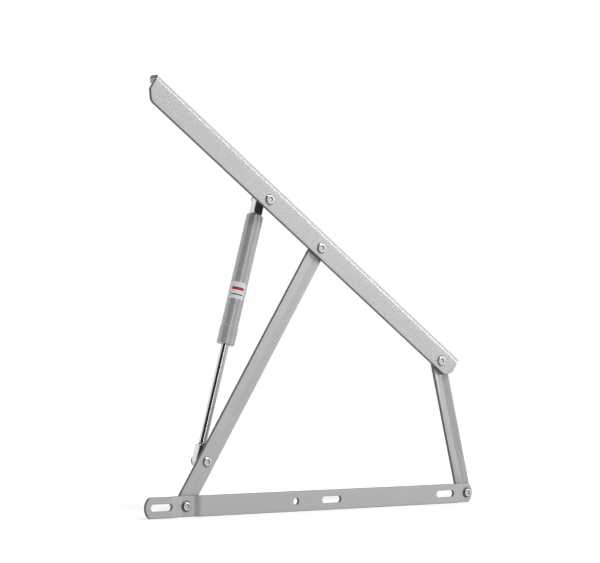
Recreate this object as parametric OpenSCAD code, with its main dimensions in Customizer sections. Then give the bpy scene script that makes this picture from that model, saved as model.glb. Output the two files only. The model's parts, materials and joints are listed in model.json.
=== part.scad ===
// Bed lift mechanism, one side of a storage bed, drawn standing open.
// X runs along the base bar, Y away from the bed's side panel, Z up.
// The origin is midway between the two end slots, on the face that lies against the side panel.

/* [Base bar] */
// Height of the base bar
bar_h = 26; // [22:0.5:32]
// Thickness of the base bar
bar_t = 4; // [3:0.5:5]
// Distance between the pivots of the two arms
base_pivots = 480; // [474:1:486]
// Distance between the centres of the two end slots
end_slots = 476; // [472:1:480]
// Distance from the left end slot to the long arm's pivot
left_slot_to_pivot = 41; // [40:1:46]
// Distance from the long arm's pivot to the middle slot
middle_slot_at = 232; // [200:1:300]
// Distance from the long arm's pivot to the round hole
round_hole_at = 172; // [40:1:190]
// Width of each slot and diameter of the round hole
slot_w = 9; // [6:0.5:11]
// End-to-end length of each slot
slot_len = 32; // [20:1:34]
// Distance from the long arm's pivot to the bar's left end
left_end = 65; // [64:1:80]
// Distance from the short arm's pivot to the bar's right end
right_end = 10.5; // [9:0.5:16]
// Radius of the bar's shallow round ends
end_r = 16; // [16:1:40]
// Depth by which the bar is set back round each rivet
set_back = 5; // [4:0.5:6]
// Half-length of the set-back stretch at the long arm's pivot
set_back_half = 13; // [11:0.5:14]
// Distance from the short arm's pivot to the foot of its set-back slope
set_back_short = 16; // [15:0.5:17]

/* [Arms] */
// Length of the long arm between its pivots
long_arm_len = 389; // [380:1:395]
// Length of the short arm between its pivots
short_arm_len = 188; // [182:1:194]
// Width of both arms
arm_w = 25; // [21:0.5:26]
// Thickness of both arms
arm_t = 4; // [3:0.5:5]
// Angle of the long arm above the base bar when open
open_angle = 57; // [55:0.5:59]
// Width of the pressed rib in each arm
rib_w = 20; // [10:0.5:21]
// Depth of the pressed rib in each arm
rib_d = 1.2; // [0.6:0.1:1.6]
// Distance from a base pivot to the start of its rib
rib_start = 16; // [14:1:20]
// Distance from a rail pivot to the end of its rib
rib_end = 14; // [14:1:30]
// Distance from the lower spring pin down to the rib below it
rib_pin_flat = 18; // [14:1:28]
// Distance from the lower spring pin up to the rib above it
rib_restart = 28; // [14:1:60]
// Length over which a rib's ends fade out
rib_fade = 2.5; // [1:0.5:10]

/* [Top rail] */
// Distance between the rail's two arm pivots
rail_pivots = 261; // [255:1:266]
// Length of rail beyond the long arm's pivot
rail_upper_len = 333; // [250:1:345]
// Length of rail beyond the short arm's pivot
rail_lower_len = 27; // [22:1:34]
// Height of the rail's flat face
rail_face = 28.5; // [26:0.5:31]
// Distance from the rivets' line down to the rail's lower edge
rail_below = 12.5; // [11:0.5:14]
// Sheet thickness of the rail
rail_t = 4; // [3:0.5:4.5]
// Outer radius of the rail's bend
rail_bend_r = 5; // [5:0.5:9]
// Depth of the rail's flange from its front face
rail_flange = 25; // [22:1:28]
// Length cut from the rail's lower corners, along the rail
rail_corner = 10; // [4:1:12]
// Height cut from the rail's lower corners
rail_corner_h = 12; // [4:0.5:12.5]
// Length cut from the flange's far corners
flange_corner = 9; // [4:1:12]
// Diameter of the screw holes in the flange
flange_hole_d = 7; // [5:0.5:8]
// Distance of the screw holes from the rail's front face
flange_hole_in = 16; // [13:0.5:17]
// Places of the screw holes along the rail, counted from the long arm's pivot
flange_holes = [-305, -190, 75, 205];

/* [Rivets] */
// Diameter of the rivet shanks and spring pins
rivet_d = 8; // [6:0.5:9]
// Diameter of the domed rivet heads and washers
head_d = 14; // [13:0.5:15]
// Height of the domed rivet heads
head_h = 2.5; // [1.5:0.1:2.8]
// Diameter of the stepped rivet heads on the base bar
step_head_d = 10.5; // [10:0.5:11]
// Height of the stepped rivet heads on the base bar
step_head_h = 2.2; // [1.5:0.1:2.4]
// Thickness of the washers
washer_t = 1; // [0.8:0.1:1.2]

// Diameter of the hollow in each rivet head
dimple_d = 6.2; // [3:0.1:7]
// Depth of the hollow in each rivet head
dimple_depth = 0.9; // [0.3:0.1:1.2]

/* [Gas spring] */
// Diameter of the gas spring's tube
tube_d = 22; // [18:0.5:23]
// Wall of the gas spring's tube
tube_wall = 1.2; // [1:0.1:2]
// Diameter of the piston rod
rod_d = 10; // [8:0.5:11]
// Distance from the long arm's base pivot to the lower spring pin
lower_pin_at = 64; // [60:1:68]
// Distance from the long arm's rail pivot to the upper spring pin
upper_pin_at = 105; // [101:1:109]
// Depth of the gas spring's axis behind the side panel's face
spring_y = 28; // [28:0.5:30]
// Width of the spring's two eyes
eye_w = 14; // [12:0.5:15]
// Thickness of the spring's two eyes
eye_t = 10; // [8:0.5:11]
// Radius by which an eye's round end stands out past its sides
eye_round = 0; // [0:0.5:2]
// Distance from the lower spring pin to the end of its eye
lower_eye_len = 22; // [18:1:24]
// Distance from the upper spring pin to the tube's end
upper_eye_len = 21; // [19:1:24]
// Length of the cylinder with its collar
body_len = 170.5; // [166:0.5:174]
// Length of the collar
collar_len = 23.5; // [16:0.5:30]
// Thickness of the collar's wall
collar_wall = 0.5; // [0.4:0.1:0.9]
// Length of the rod guide
guide_len = 12; // [8:1:14]
// Length of the rod seal
seal_len = 4; // [3:0.5:5]
// Length of the piston
piston_len = 9; // [7:0.5:10]
// Length of the piston's ring
ring_len = 3; // [2:0.5:4]
// Depth of the groove that holds the ring
ring_depth = 1.2; // [0.8:0.1:2]
// Length of the nut that holds the piston
nut_len = 3; // [2:0.5:4]
// Length of the plug at the tube's closed end
plug_len = 10; // [8:0.5:12]
// Diameter of the threaded stubs that join rod, eyes and plug
stub_d = 6; // [5:0.5:7]
// Length of the threaded stubs
stub_len = 10; // [8:0.5:12]
// Length of the label along the tube
label_len = 22; // [12:1:40]
// Distance from the collar to the label
label_at = 34.5; // [10:0.5:60]
// Angle that the label covers round the tube
label_wrap = 112; // [60:2:160]
// Angle by which the label is turned towards the left
label_turn = 38; // [0:2:90]

/* [Hidden] */
$fn = 64;

// Clearances: running fit of a pin in its hole, fixed fit in one body, gap between sliding faces
running = 0.05;
fixed = 0.02;
face_gap = 0.05;
// Gap between piston and tube, which the ring closes
piston_gap = 0.2;
// Gap between the collar's lip and the rod
lip_gap = 0.4;
// Margin by which a cutter runs past the wall that it cuts
past = 1;

// Linkage, worked out from the four pivot distances and the open angle
long_pivot = [left_slot_to_pivot - end_slots/2, 0];
short_pivot = [long_pivot.x + base_pivots, 0];
rail_long_pivot = long_pivot + long_arm_len*[cos(open_angle), sin(open_angle)];
to_short = short_pivot - rail_long_pivot;
to_short_len = norm(to_short);
to_short_angle = atan2(to_short.y, to_short.x);
rail_opening = acos((rail_pivots^2 + to_short_len^2 - short_arm_len^2)/(2*rail_pivots*to_short_len));
rail_angle = to_short_angle + rail_opening;
rail_short_pivot = rail_long_pivot + rail_pivots*[cos(rail_angle), sin(rail_angle)];
short_arm_angle = atan2(rail_short_pivot.y - short_pivot.y, rail_short_pivot.x - short_pivot.x);
lower_pin = long_pivot + lower_pin_at*[cos(open_angle), sin(open_angle)];
upper_pin = rail_long_pivot - upper_pin_at*[cos(rail_angle), sin(rail_angle)];
spring_angle = atan2(upper_pin.y - lower_pin.y, upper_pin.x - lower_pin.x);
spring_len = norm(upper_pin - lower_pin);

// Depth stack, from the side panel backwards
plate_y = set_back;
plate_back = plate_y + bar_t;
rail_back = plate_y + rail_t;
arm_y = max(plate_back, rail_back) + washer_t;
arm_back = arm_y + arm_t;
eye_y = spring_y - eye_t/2;
eye_back = spring_y + eye_t/2;
tail_h = head_h;
pin_tail_h = tail_h + washer_t;
pin_head_r = head_d/2 - 0.5;
rail_low = -rail_below;
rail_bend = rail_face - rail_below;
rail_top = rail_bend + rail_bend_r;
rail_left = -rail_upper_len;
rail_right = rail_pivots + rail_lower_len;

// Gas spring, as distances from the lower pin along the spring's axis
tube_r = tube_d/2;
tube_in_r = tube_r - tube_wall;
rod_r = rod_d/2;
body_top = spring_len - upper_eye_len;
body_start = body_top - body_len;
collar_lip = 1.5;
label_t = 0.15;
guide_start = body_start + collar_lip;
seal_start = guide_start + guide_len;
piston_start = seal_start + seal_len + 2;
rod_end = piston_start + piston_len + nut_len;
stub_r = stub_d/2;
nut_r = 2*stub_r;
ring_start = piston_start + (piston_len - ring_len)/2;
eye_shoulder = 1.5;
plug_floor = 2;

// Prints the angles that the closed linkage needs
echo(rail_angle = rail_angle, short_arm_angle = short_arm_angle, spring_angle = spring_angle,
    spring_len = spring_len, long_pivot = long_pivot, rail_long_pivot = rail_long_pivot,
    rail_short_pivot = rail_short_pivot, lower_pin = lower_pin, upper_pin = upper_pin);

// Places its children at a point of the XZ plane
module at(point) {
    translate([point.x, 0, point.y]) children();
}

// Places its children at a point of the XZ plane, with their X axis turned up by an angle
module along(point, angle) {
    at(point) rotate([0, -angle, 0]) children();
}

// Places its children on the spring's axis: their Z axis runs from the lower pin to the upper one
module on_spring(distance) {
    along(lower_pin, spring_angle) translate([distance, spring_y, 0]) rotate([0, 90, 0]) children();
}

// Cylinder along Y, from one depth to another
module rod_y(from_y, to_y, r) {
    translate([0, to_y, 0]) rotate([90, 0, 0]) cylinder(h = to_y - from_y, r = r);
}

// Washer along Y
module ring_y(from_y, to_y, r, hole_r) {
    difference() {
        rod_y(from_y, to_y, r);
        rod_y(from_y - past, to_y + past, hole_r);
    }
}

// Head along Y with a rounded rim and a hollow middle; its flat face lies at face_y
module head_y(face_y, height, r, out) {
    rim = 0.6*height;
    translate([0, face_y, 0]) rotate([out > 0 ? -90 : 90, 0, 0]) difference() {
        rotate_extrude() union() {
            square([r - rim, height]);
            square([r, height - rim]);
            translate([r - rim, height - rim]) intersection() {
                circle(r = rim);
                square(rim);
            }
        }
        translate([0, 0, height - dimple_depth])
            cylinder(h = dimple_depth, r1 = dimple_d/5, r2 = dimple_d/2);
    }
}

// Tube or ring along Z
module pipe(h, r, hole_r) {
    difference() {
        cylinder(h = h, r = r);
        translate([0, 0, -past]) cylinder(h = h + 2*past, r = hole_r);
    }
}

// Slot through the bar, centred on X
module slot_cut(x) {
    half = (slot_len - slot_w)/2;
    translate([x, 0, 0]) {
        for (side = [-1, 1])
            translate([side*half, 0, 0]) rod_y(-past, plate_back + past, slot_w/2);
        translate([-half, -past, -slot_w/2]) cube([2*half, plate_back + 2*past, slot_w]);
    }
}

// Plan of the bent bar: the front edge, then the same points moved back by the bar's thickness
module bar_plan() {
    mitre = bar_t*tan(22.5);
    x0 = long_pivot.x;
    x1 = short_pivot.x;
    front = [
        [x0 - left_end, 0, 0],
        [x0 - set_back_half - set_back, 0, -1],
        [x0 - set_back_half, set_back, -1],
        [x0 + set_back_half, set_back, 1],
        [x0 + set_back_half + set_back, 0, 1],
        [x1 - set_back_short - set_back, 0, -1],
        [x1 - set_back_short, set_back, -1],
        [x1 + right_end, set_back, 0]
    ];
    back = [for (i = [len(front) - 1 : -1 : 0]) [front[i].x + front[i].z*mitre, front[i].y + bar_t]];
    polygon(concat([for (p = front) [p.x, p.y]], back));
}

// Front view of the bar, with a shallow arc at each end
module bar_face() {
    rise = end_r - sqrt(end_r^2 - bar_h^2/4);
    x0 = long_pivot.x - left_end;
    x1 = short_pivot.x + right_end;
    intersection() {
        translate([x0, -bar_h/2]) square([x1 - x0, bar_h]);
        union() {
            translate([x0 + end_r, 0]) circle(r = end_r);
            translate([x1 - end_r, 0]) circle(r = end_r);
            translate([x0 + rise, -bar_h/2]) square([x1 - x0 - 2*rise, bar_h]);
        }
    }
}

module base_bar() {
    color("silver") difference() {
        intersection() {
            translate([0, 0, -bar_h/2]) linear_extrude(bar_h) bar_plan();
            translate([0, plate_back + past, 0]) rotate([90, 0, 0])
                linear_extrude(plate_back + 2*past) bar_face();
        }
        for (x = [-end_slots/2, long_pivot.x + middle_slot_at, end_slots/2]) slot_cut(x);
        translate([long_pivot.x + round_hole_at, 0, 0]) rod_y(-past, plate_back + past, slot_w/2);
        for (p = [long_pivot, short_pivot]) at(p) rod_y(0, plate_back + past, rivet_d/2 + fixed);
    }
}

// Rivet through the set-back bar and an arm, with a stepped head in front and a tail behind
module base_rivet() {
    color("gainsboro") union() {
        head_y(plate_y - washer_t, step_head_h, step_head_d/2, -1);
        rod_y(plate_y - washer_t, arm_back, rivet_d/2);
        head_y(arm_back, tail_h, head_d/2, 1);
    }
}

module base_rivet_long() { at(long_pivot) base_rivet(); }
module base_rivet_short() { at(short_pivot) base_rivet(); }

module head_washer() {
    color("lightgray") ring_y(plate_y - washer_t, plate_y, head_d/2, rivet_d/2 + fixed);
}

module head_washer_long() { at(long_pivot) head_washer(); }
module head_washer_short() { at(short_pivot) head_washer(); }

// Bearing washer that fills the space between a plate and an arm
module bearing_washer(from_y) {
    color("white") ring_y(from_y, arm_y - face_gap, head_d/2, rivet_d/2 + fixed);
}

module base_washer_long() { at(long_pivot) bearing_washer(plate_back); }
module base_washer_short() { at(short_pivot) bearing_washer(plate_back); }

// Shallow V of a rib, its open side at Y zero, between two distances along an arm
module rib(from_x, to_x, extra) {
    intersection() {
        translate([from_x, 0, 0]) rotate([90, 0, 90]) linear_extrude(to_x - from_x)
            polygon([[-extra, -rib_w/2], [0, -rib_w/2], [rib_d, 0], [0, rib_w/2], [-extra, rib_w/2]]);
        translate([0, -extra, -rib_w]) linear_extrude(2*rib_w) rib_profile(from_x, to_x, extra);
    }
}

// Outline of a rib seen from above: full depth in its middle, fading out at both ends, over an extra strip
module rib_profile(from_x, to_x, extra) {
    full = extra + rib_d;
    polygon([
        [from_x, 0], [from_x, extra], [from_x + rib_fade, full],
        [to_x - rib_fade, full], [to_x, extra], [to_x, 0]
    ]);
}

// Pressed arm with round ends; bores is a list of [distance, hole radius], ribs a list of [from, to]
module arm(length, bores, ribs) {
    difference() {
        union() {
            for (x = [0, length]) translate([x, 0, 0]) rod_y(arm_y, arm_back, arm_w/2);
            translate([0, arm_y, -arm_w/2]) cube([length, arm_t, arm_w]);
            for (r = ribs) translate([0, arm_back, 0]) rib(r[0], r[1], arm_t/2);
        }
        for (r = ribs) translate([0, arm_y, 0]) rib(r[0], r[1], past);
        for (b = bores) translate([b[0], 0, 0]) rod_y(arm_y - past, arm_back + past, b[1]);
    }
}

module long_arm() {
    color("silver") along(long_pivot, open_angle) arm(long_arm_len,
        [[0, rivet_d/2 + running], [lower_pin_at, rivet_d/2 + fixed], [long_arm_len, rivet_d/2 + fixed]],
        [[rib_start, lower_pin_at - rib_pin_flat], [lower_pin_at + rib_restart, long_arm_len - rib_end]]);
}

module short_arm() {
    color("silver") along(short_pivot, short_arm_angle) arm(short_arm_len,
        [[0, rivet_d/2 + running], [short_arm_len, rivet_d/2 + running]],
        [[rib_start, short_arm_len - rib_end]]);
}

// Pin on the long arm: head in front, shank through arm, spacer and eye, far head behind the eye
module lower_spring_pin() {
    color("gainsboro") at(lower_pin) union() {
        head_y(arm_y, head_h, pin_head_r, -1);
        rod_y(arm_y, eye_back + face_gap, rivet_d/2);
        head_y(eye_back + face_gap, pin_tail_h, head_d/2, 1);
    }
}

module lower_spring_spacer() {
    color("gainsboro") at(lower_pin)
        ring_y(arm_back, eye_y - face_gap, pin_head_r, rivet_d/2 + fixed);
}

// Closed end of the rail rivet at the open pivot of the linkage, carried by the long arm
module rail_rivet_long_tail() {
    color("gainsboro") at(rail_long_pivot) union() {
        rod_y(arm_y, arm_back, rivet_d/2);
        head_y(arm_back, tail_h, head_d/2, 1);
    }
}

// Angle section: X is the depth behind the front face, Y the height above the rivet line
module rail_section() {
    inner_r = rail_bend_r - rail_t;
    union() {
        translate([0, rail_low]) square([rail_t, rail_face]);
        translate([rail_bend_r, rail_top - rail_t]) square([rail_flange - rail_bend_r, rail_t]);
        translate([rail_bend_r, rail_bend]) intersection() {
            difference() {
                circle(r = rail_bend_r);
                circle(r = inner_r);
            }
            translate([-rail_bend_r, 0]) square(rail_bend_r);
        }
    }
}

// Outline of the rail's face, with its two lower corners cut
module rail_face_outline() {
    corner = rail_low + rail_corner_h;
    polygon([
        [rail_left, rail_top], [rail_right, rail_top], [rail_right, corner],
        [rail_right - rail_corner, rail_low], [rail_left + rail_corner, rail_low], [rail_left, corner]
    ]);
}

// Outline of the flange seen from above, with its two far corners cut
module rail_flange_outline() {
    corner = rail_flange - flange_corner;
    polygon([
        [rail_left, -past], [rail_right, -past], [rail_right, corner],
        [rail_right - flange_corner, rail_flange], [rail_left + flange_corner, rail_flange],
        [rail_left, corner]
    ]);
}

module top_rail() {
    height = rail_face + rail_bend_r;
    color("silver") along(rail_long_pivot, rail_angle) translate([0, plate_y, 0]) difference() {
        intersection() {
            translate([rail_left, 0, 0]) rotate([90, 0, 90])
                linear_extrude(rail_right - rail_left) rail_section();
            translate([0, rail_flange + past, 0]) rotate([90, 0, 0])
                linear_extrude(rail_flange + 2*past) rail_face_outline();
            translate([0, 0, -height]) linear_extrude(2*height) rail_flange_outline();
        }
        for (x = [0, rail_pivots, -upper_pin_at])
            translate([x, 0, 0]) rod_y(-past, rail_t + past, rivet_d/2 + fixed);
        for (x = flange_holes)
            translate([x, flange_hole_in, rail_top - rail_t - past])
                cylinder(h = rail_t + 2*past, r = flange_hole_d/2);
    }
}

// Rivet at the open pivot of the linkage, on the rail's side: it ends where the arm begins
module rail_rivet_long() {
    color("gainsboro") at(rail_long_pivot) union() {
        head_y(plate_y, head_h, head_d/2, -1);
        rod_y(plate_y, arm_y - face_gap, rivet_d/2);
    }
}

module rail_washer_long() { at(rail_long_pivot) bearing_washer(rail_back); }

module rail_rivet_short() {
    color("gainsboro") at(rail_short_pivot) union() {
        head_y(plate_y, head_h, head_d/2, -1);
        rod_y(plate_y, arm_back + face_gap, rivet_d/2);
        head_y(arm_back + face_gap, tail_h, head_d/2, 1);
    }
}

module rail_washer_short() { at(rail_short_pivot) bearing_washer(rail_back); }

// Pin of the spring's upper eye, on the rail's side: it ends where the eye begins
module upper_spring_pin() {
    color("gainsboro") at(upper_pin) union() {
        head_y(plate_y, head_h, head_d/2, -1);
        rod_y(plate_y, eye_y - face_gap, rivet_d/2);
    }
}

module upper_spring_spacer() {
    color("gainsboro") at(upper_pin)
        ring_y(rail_back, eye_y - face_gap, pin_head_r, rivet_d/2 + fixed);
}

// Rest of the upper pin, inside the eye, with its far head behind
module upper_spring_pin_tail() {
    color("gainsboro") at(upper_pin) union() {
        rod_y(eye_y, eye_back, rivet_d/2);
        head_y(eye_back, pin_tail_h, head_d/2, 1);
    }
}

// Body of a flat eye with a round end: its pin lies at the origin and its shank runs up Z by length
module eye_body(length) {
    rod_y(-eye_t/2, eye_t/2, eye_w/2 + eye_round);
    translate([-eye_w/2, -eye_t/2, 0]) cube([eye_w, eye_t, length - eye_shoulder]);
    cylinder(h = length, r = eye_t/2);
}

// Pin hole through an eye
module eye_bore(clearance) {
    rod_y(-eye_t/2 - past, eye_t/2 + past, rivet_d/2 + clearance);
}

module rod_eye() {
    color("gainsboro") on_spring(0) difference() {
        eye_body(lower_eye_len);
        eye_bore(running);
        translate([0, 0, lower_eye_len - stub_len]) cylinder(h = stub_len + past, r = stub_r + fixed);
    }
}

// Rod with a stub that screws into the lower eye and a thin end that holds the piston
module piston_rod() {
    color("whitesmoke") on_spring(0) union() {
        translate([0, 0, lower_eye_len - stub_len]) cylinder(h = stub_len, r = stub_r);
        translate([0, 0, lower_eye_len]) cylinder(h = piston_start - lower_eye_len, r = rod_r);
        translate([0, 0, piston_start]) cylinder(h = rod_end - piston_start, r = stub_r);
    }
}

module piston() {
    color("dimgray") on_spring(piston_start) difference() {
        cylinder(h = piston_len, r = tube_in_r - piston_gap);
        translate([0, 0, -past]) cylinder(h = piston_len + 2*past, r = stub_r + fixed);
        translate([0, 0, ring_start - piston_start]) pipe(ring_len, tube_r, tube_in_r - ring_depth);
    }
}

module piston_ring() {
    color("black") on_spring(ring_start + fixed)
        pipe(ring_len - 2*fixed, tube_in_r - running, tube_in_r - ring_depth + fixed);
}

module rod_nut() {
    color("gray") on_spring(piston_start + piston_len) pipe(nut_len, nut_r, stub_r + fixed);
}

module cylinder_tube() {
    color("gray") on_spring(guide_start) pipe(body_top - guide_start, tube_r, tube_in_r);
}

// Thin sleeve over the tube's rod end, with a lip that closes round the rod
module cylinder_collar() {
    color("gray") on_spring(body_start) difference() {
        cylinder(h = collar_len, r = tube_r + collar_wall);
        translate([0, 0, collar_lip]) cylinder(h = collar_len, r = tube_r + fixed);
        translate([0, 0, -past]) cylinder(h = collar_lip + 2*past, r = rod_r + lip_gap);
    }
}

module rod_guide() {
    color("goldenrod") on_spring(guide_start) pipe(guide_len, tube_in_r - fixed, rod_r + running);
}

module rod_seal() {
    color("black") on_spring(seal_start) pipe(seal_len, tube_in_r - fixed, rod_r + running);
}

module cylinder_end_plug() {
    color("gray") on_spring(body_top - plug_len) difference() {
        cylinder(h = plug_len, r = tube_in_r - fixed);
        translate([0, 0, plug_floor]) cylinder(h = plug_len, r = stub_r + fixed);
    }
}

// Upper eye: the same flat eye turned over, with a threaded stub that enters the plug
module cylinder_eye() {
    color("gainsboro") on_spring(spring_len) mirror([0, 0, 1]) difference() {
        union() {
            eye_body(upper_eye_len);
            cylinder(h = upper_eye_len + plug_len - plug_floor, r = stub_r);
        }
        eye_bore(fixed);
    }
}

// Blank label, a thin curved sheet on the side of the tube that faces forwards and left
module cylinder_label() {
    color("white") on_spring(body_start + collar_len + label_at) rotate([0, 0, -90 - label_turn])
        intersection() {
            pipe(label_len, tube_r + fixed + label_t, tube_r + fixed);
            linear_extrude(label_len) polygon([[0, 0], for (k = [-1 : 0.25 : 1])
                2*tube_r*[cos(k*label_wrap/2), sin(k*label_wrap/2)]]);
        }
}

base_bar();
base_rivet_long();
base_rivet_short();
head_washer_long();
head_washer_short();
base_washer_long();
base_washer_short();
long_arm();
lower_spring_pin();
lower_spring_spacer();
rail_rivet_long_tail();
short_arm();
top_rail();
rail_rivet_long();
rail_washer_long();
rail_rivet_short();
rail_washer_short();
upper_spring_pin();
upper_spring_spacer();
piston_rod();
rod_eye();
piston();
piston_ring();
rod_nut();
cylinder_tube();
cylinder_collar();
rod_guide();
rod_seal();
cylinder_end_plug();
cylinder_eye();
cylinder_label();
upper_spring_pin_tail();
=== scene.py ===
import json

import bpy
import numpy as np
from mathutils import Matrix, Vector
from mathutils.geometry import delaunay_2d_cdt

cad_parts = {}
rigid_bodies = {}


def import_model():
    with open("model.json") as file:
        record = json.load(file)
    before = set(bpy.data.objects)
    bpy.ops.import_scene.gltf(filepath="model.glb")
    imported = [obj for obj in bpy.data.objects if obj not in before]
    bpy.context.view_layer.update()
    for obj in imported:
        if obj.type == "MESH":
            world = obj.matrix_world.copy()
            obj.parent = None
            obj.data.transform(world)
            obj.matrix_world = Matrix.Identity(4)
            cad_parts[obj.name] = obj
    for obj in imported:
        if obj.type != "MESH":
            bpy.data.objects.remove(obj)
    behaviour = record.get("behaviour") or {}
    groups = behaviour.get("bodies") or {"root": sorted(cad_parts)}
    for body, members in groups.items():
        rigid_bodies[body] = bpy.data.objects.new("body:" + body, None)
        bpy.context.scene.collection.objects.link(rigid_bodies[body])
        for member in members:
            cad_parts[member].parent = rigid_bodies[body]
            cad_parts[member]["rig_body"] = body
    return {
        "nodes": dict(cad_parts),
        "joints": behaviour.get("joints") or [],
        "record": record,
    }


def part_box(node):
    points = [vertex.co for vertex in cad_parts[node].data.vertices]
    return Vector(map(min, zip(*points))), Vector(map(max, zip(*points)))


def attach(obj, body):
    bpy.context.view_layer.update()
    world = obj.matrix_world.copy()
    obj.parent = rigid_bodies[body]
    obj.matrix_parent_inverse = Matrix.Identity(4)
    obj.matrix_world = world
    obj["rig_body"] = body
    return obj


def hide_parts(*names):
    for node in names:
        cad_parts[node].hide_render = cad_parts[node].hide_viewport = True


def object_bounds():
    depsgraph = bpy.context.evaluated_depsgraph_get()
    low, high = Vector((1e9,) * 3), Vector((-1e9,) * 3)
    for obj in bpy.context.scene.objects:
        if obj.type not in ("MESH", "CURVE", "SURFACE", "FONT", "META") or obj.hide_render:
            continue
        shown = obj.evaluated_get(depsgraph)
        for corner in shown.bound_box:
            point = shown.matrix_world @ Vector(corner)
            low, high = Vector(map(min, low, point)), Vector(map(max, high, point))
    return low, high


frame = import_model()
cad_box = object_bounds()

# Camera
# The mechanism is seen from its left, about 2.8 m away, through a long lens held almost level.
eye_point = Vector((-1.8025, -2.1393, 0.2185))
lens = 130.0
yaw, pitch, roll = np.radians([39.73, 1.30, -0.90])

forward = np.array([np.sin(yaw) * np.cos(pitch), np.cos(yaw) * np.cos(pitch), np.sin(pitch)])
level = np.array([np.cos(yaw), -np.sin(yaw), 0.0])
below = np.cross(forward, level)
right = np.cos(roll) * level + np.sin(roll) * below
upward = np.sin(roll) * level - np.cos(roll) * below

camera_data = bpy.data.cameras.new("camera")
camera_data.lens = lens
camera_data.clip_end = 30.0
camera = bpy.data.objects.new("camera", camera_data)
stance = Matrix(np.stack([right, upward, -forward], axis=1).tolist()).to_4x4()
camera.matrix_world = Matrix.Translation(eye_point) @ stance
bpy.context.scene.collection.objects.link(camera)
bpy.context.scene.camera = camera
bpy.context.scene.view_settings.view_transform = "Standard"

# Studio
# A pale floor keeps the soft shadow and turns white for the camera, more so farther out. The air is
# white behind the mechanism, bright in front on the right and dark on the left.
floor_gap = 0.0003
floor_half = 4.0
floor_paint = 0.58
floor_mirrored = 0.22
near_glow = 0.46
far_glow = 0.62
glow_starts = 0.32
glow_full = 0.60
glow_stretch = (1.0, 2.0, 1.0)


def add_node(tree, kind, values=(), links=(), **settings):
    """A shader node with its settings, with constants on some sockets and links on others."""
    node = tree.nodes.new("ShaderNode" + kind)
    for setting, choice in settings.items():
        setattr(node, setting, choice)
    for socket, value in dict(values).items():
        node.inputs[socket].default_value = value
    for socket, output in dict(links).items():
        tree.links.new(output, node.inputs[socket])
    return node


def joined(tree, operation, one, other):
    """Two values joined by one operation, such as their product or the larger of them."""
    return add_node(tree, "Math", links={0: one, 1: other}, operation=operation).outputs[0]


floor_mesh = bpy.data.meshes.new("studio_floor")
floor_z = cad_box[0][2] - floor_gap
corner = np.array([[-1, -1], [1, -1], [1, 1], [-1, 1]]) * floor_half
floor_mesh.from_pydata([(x, y, floor_z) for x, y in corner.tolist()], [], [(0, 1, 2, 3)])
floor = bpy.data.objects.new("studio_floor", floor_mesh)
bpy.context.scene.collection.objects.link(floor)

floor_finish = bpy.data.materials.new("studio_floor")
floor_finish.use_nodes = True
tree = floor_finish.node_tree
tree.nodes.clear()
ray = add_node(tree, "LightPath").outputs
spot = add_node(tree, "TexCoord").outputs["Object"]
stretched = add_node(tree, "VectorMath", {1: glow_stretch}, {0: spot}, operation="MULTIPLY")
from_middle = add_node(tree, "VectorMath", links={0: stretched.outputs[0]}, operation="LENGTH")
outwards = add_node(
    tree, "MapRange",
    {"From Min": glow_starts, "From Max": glow_full, "To Min": near_glow, "To Max": far_glow},
    {"Value": from_middle.outputs["Value"]}, interpolation_type="SMOOTHSTEP",
)
seen_glow = joined(tree, "MULTIPLY", ray["Is Camera Ray"], outwards.outputs["Result"])
mirrored = joined(tree, "MAXIMUM", ray["Is Glossy Ray"], ray["Is Transmission Ray"])
reflected = add_node(tree, "Math", {1: floor_mirrored}, {0: mirrored}, operation="MULTIPLY")
strength = joined(tree, "MAXIMUM", seen_glow, reflected.outputs[0])
glow = add_node(tree, "Emission", links={"Strength": strength})
paint = add_node(tree, "BsdfDiffuse", {"Color": (floor_paint,) * 3 + (1,)})
both = add_node(tree, "AddShader", links={0: paint.outputs[0], 1: glow.outputs[0]})
add_node(tree, "OutputMaterial", links={"Surface": both.outputs[0]})
floor_mesh.materials.append(floor_finish)


def air_ramp(tree, direction, way, start, stop, amount):
    """Brightness that rises smoothly from 0 to amount as a direction's share along a way goes from
    start to stop."""
    share = add_node(tree, "VectorMath", {1: way}, {0: direction}, operation="DOT_PRODUCT")
    values = {"From Min": start, "From Max": stop, "To Max": amount}
    links = {"Value": share.outputs["Value"]}
    rise = add_node(tree, "MapRange", values, links, interpolation_type="SMOOTHSTEP")
    return rise.outputs["Result"]


def by_ray(tree, mirrored, plain, shiny):
    """One value for the light that falls on a surface and another for what it mirrors."""
    return add_node(tree, "Mix", {"A": plain, "B": shiny}, {"Factor": mirrored}).outputs["Result"]


upwards = (0.0, 0.0, 1.0)
backwards = (0.0, 1.0, 0.0)
band_way = (0.262, 0.0, 0.965)
edge_turn, core_turn = np.radians([-22.0, 27.0])
edge_way = (np.cos(edge_turn), np.sin(edge_turn), 0.0)
core_way = (np.cos(core_turn), np.sin(core_turn), 0.0)

air = bpy.data.worlds.new("studio_air")
bpy.context.scene.world = air
air.use_nodes = True
tree = air.node_tree
tree.nodes.clear()
direction = add_node(tree, "TexCoord").outputs["Generated"]
ray = add_node(tree, "LightPath").outputs
mirrored = ray["Is Glossy Ray"]
wide = air_ramp(tree, direction, edge_way, start=-0.06, stop=0.06, amount=0.55)
core = air_ramp(tree, direction, core_way, start=-0.05, stop=0.25, amount=0.50)
band = air_ramp(tree, direction, band_way, start=-0.12, stop=0.30, amount=1.30)
behind = air_ramp(tree, direction, backwards, start=0.10, stop=0.45, amount=1.0)
not_high = air_ramp(tree, direction, upwards, start=0.62, stop=0.42, amount=1.0)
overhead = air_ramp(tree, direction, upwards, start=0.50, stop=0.95, amount=0.90)
front_right = joined(tree, "MULTIPLY", joined(tree, "ADD", wide, core), band)
front_right = joined(tree, "MULTIPLY", front_right, by_ray(tree, mirrored, plain=0.5, shiny=1.0))
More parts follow.
